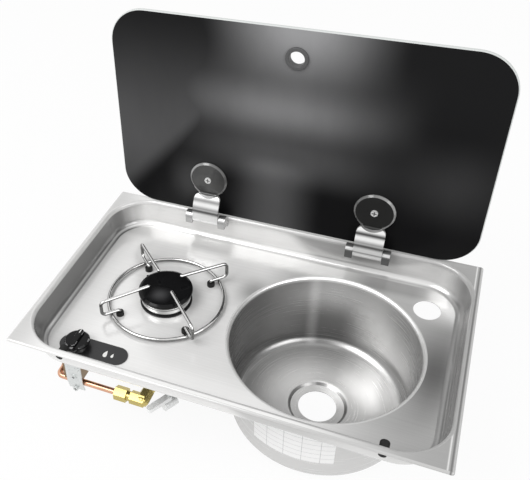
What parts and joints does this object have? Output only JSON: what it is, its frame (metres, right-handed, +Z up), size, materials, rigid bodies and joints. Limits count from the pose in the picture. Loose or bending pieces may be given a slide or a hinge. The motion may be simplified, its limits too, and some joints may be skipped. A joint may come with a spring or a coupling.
{
  "type": "hob and sink combo",
  "caption": "Drop-in stainless hob and sink: wire trivet over a gas burner, round bowl, tap hole and a hinged black glass lid that folds flat over the pan.",
  "frame": {"origin": "centre of the flange's top face", "axes": "+X right along the front edge, +Y to the back where the lid is hinged, +Z up"},
  "size_m": [0.52, 0.325, 0.4585],
  "materials": {
    "stainless": "bright brushed",
    "black_glass": "opaque black, satin",
    "chrome": "polished",
    "dark_chrome": "black chrome",
    "black_enamel": "satin enamel",
    "black_plastic": "gloss",
    "black_rubber": "matt",
    "zinc_plate": "zinc plated",
    "brass": "machined",
    "copper": "drawn copper tube",
    "alloy": "machined"
  },
  "bodies": {
    "unit": {"pan": "stainless", "bowl": "stainless", "left_hinge_base": "chrome", "right_hinge_base": "chrome", "left_hinge_pin": "stainless", "right_hinge_pin": "stainless", "burner_collar": "alloy", "burner_cup": "alloy", "burner_screws": "zinc_plate", "injector_holder": "brass", "gas_injector": "brass", "thermocouple_probe": "dark_chrome", "thermocouple_nut": "brass", "thermocouple_lead": "copper", "control_plate": "black_plastic", "knob_bezel": "chrome", "gas_tap": "brass", "safety_magnet": "brass", "tap_bracket": "zinc_plate", "bracket_screws": "zinc_plate", "bracket_nut": "zinc_plate", "inlet_elbow": "brass", "elbow_pipe_nut": "brass", "elbow_inlet_nut": "brass", "supply_pipe": "copper", "burner_pipe": "copper", "burner_pipe_nuts": "brass", "clamp_stud": "zinc_plate", "clamp_barrel_nut": "zinc_plate", "left_front_plug": "black_rubber", "right_front_plug": "black_rubber"},
    "lid": {"glass_lid": "black_glass", "finger_grommet": "black_rubber", "left_hinge_arm": "chrome", "right_hinge_arm": "chrome", "left_hinge_pad": "black_rubber", "right_hinge_pad": "black_rubber", "left_hinge_cap": "dark_chrome", "right_hinge_cap": "dark_chrome", "hinge_disc_screws": "chrome"},
    "trivet": {"trivet": "chrome", "trivet_feet": "black_rubber"},
    "crown": {"burner_crown": "alloy"},
    "cap": {"burner_cap": "black_enamel"},
    "tap_turn": {"tap_plug": "brass"},
    "knob": {"gas_knob": "black_plastic", "tap_spindle": "brass"},
    "clamp": {"clamp_bar": "zinc_plate"}
  },
  "joints": [
    {"name": "lid_hinge", "type": "hinge", "parent": "unit", "child": "lid", "pos_m": [0, 0.141, 0.0005], "axis": [-1, 0, 0], "range_deg": [-90, 0]},
    {"name": "trivet_lift", "type": "slide", "parent": "unit", "child": "trivet", "axis": [0, 0, 1], "range_m": [0, 0.04]},
    {"name": "crown_lift", "type": "slide", "parent": "unit", "child": "crown", "axis": [0, 0, 1], "range_m": [0, 0.006]},
    {"name": "cap_lift", "type": "slide", "parent": "crown", "child": "cap", "axis": [0, 0, 1], "range_m": [0, 0.006]},
    {"name": "knob_turn", "type": "hinge", "parent": "unit", "child": "tap_turn", "pos_m": [-0.1921, -0.1131, -0.0435], "axis": [0, 0, 1], "range_deg": [0, 210]},
    {"name": "knob_push", "type": "slide", "parent": "tap_turn", "child": "knob", "axis": [0, 0, -1], "range_m": [0, 0.0025], "stiffness_N_per_m": 1500, "springref_m": -0.002},
    {"name": "clamp_swing", "type": "hinge", "parent": "unit", "child": "clamp", "pos_m": [-0.0671, -0.1198, -0.0743], "axis": [0, 0, 1], "range_deg": [0, 120]}
  ]
}
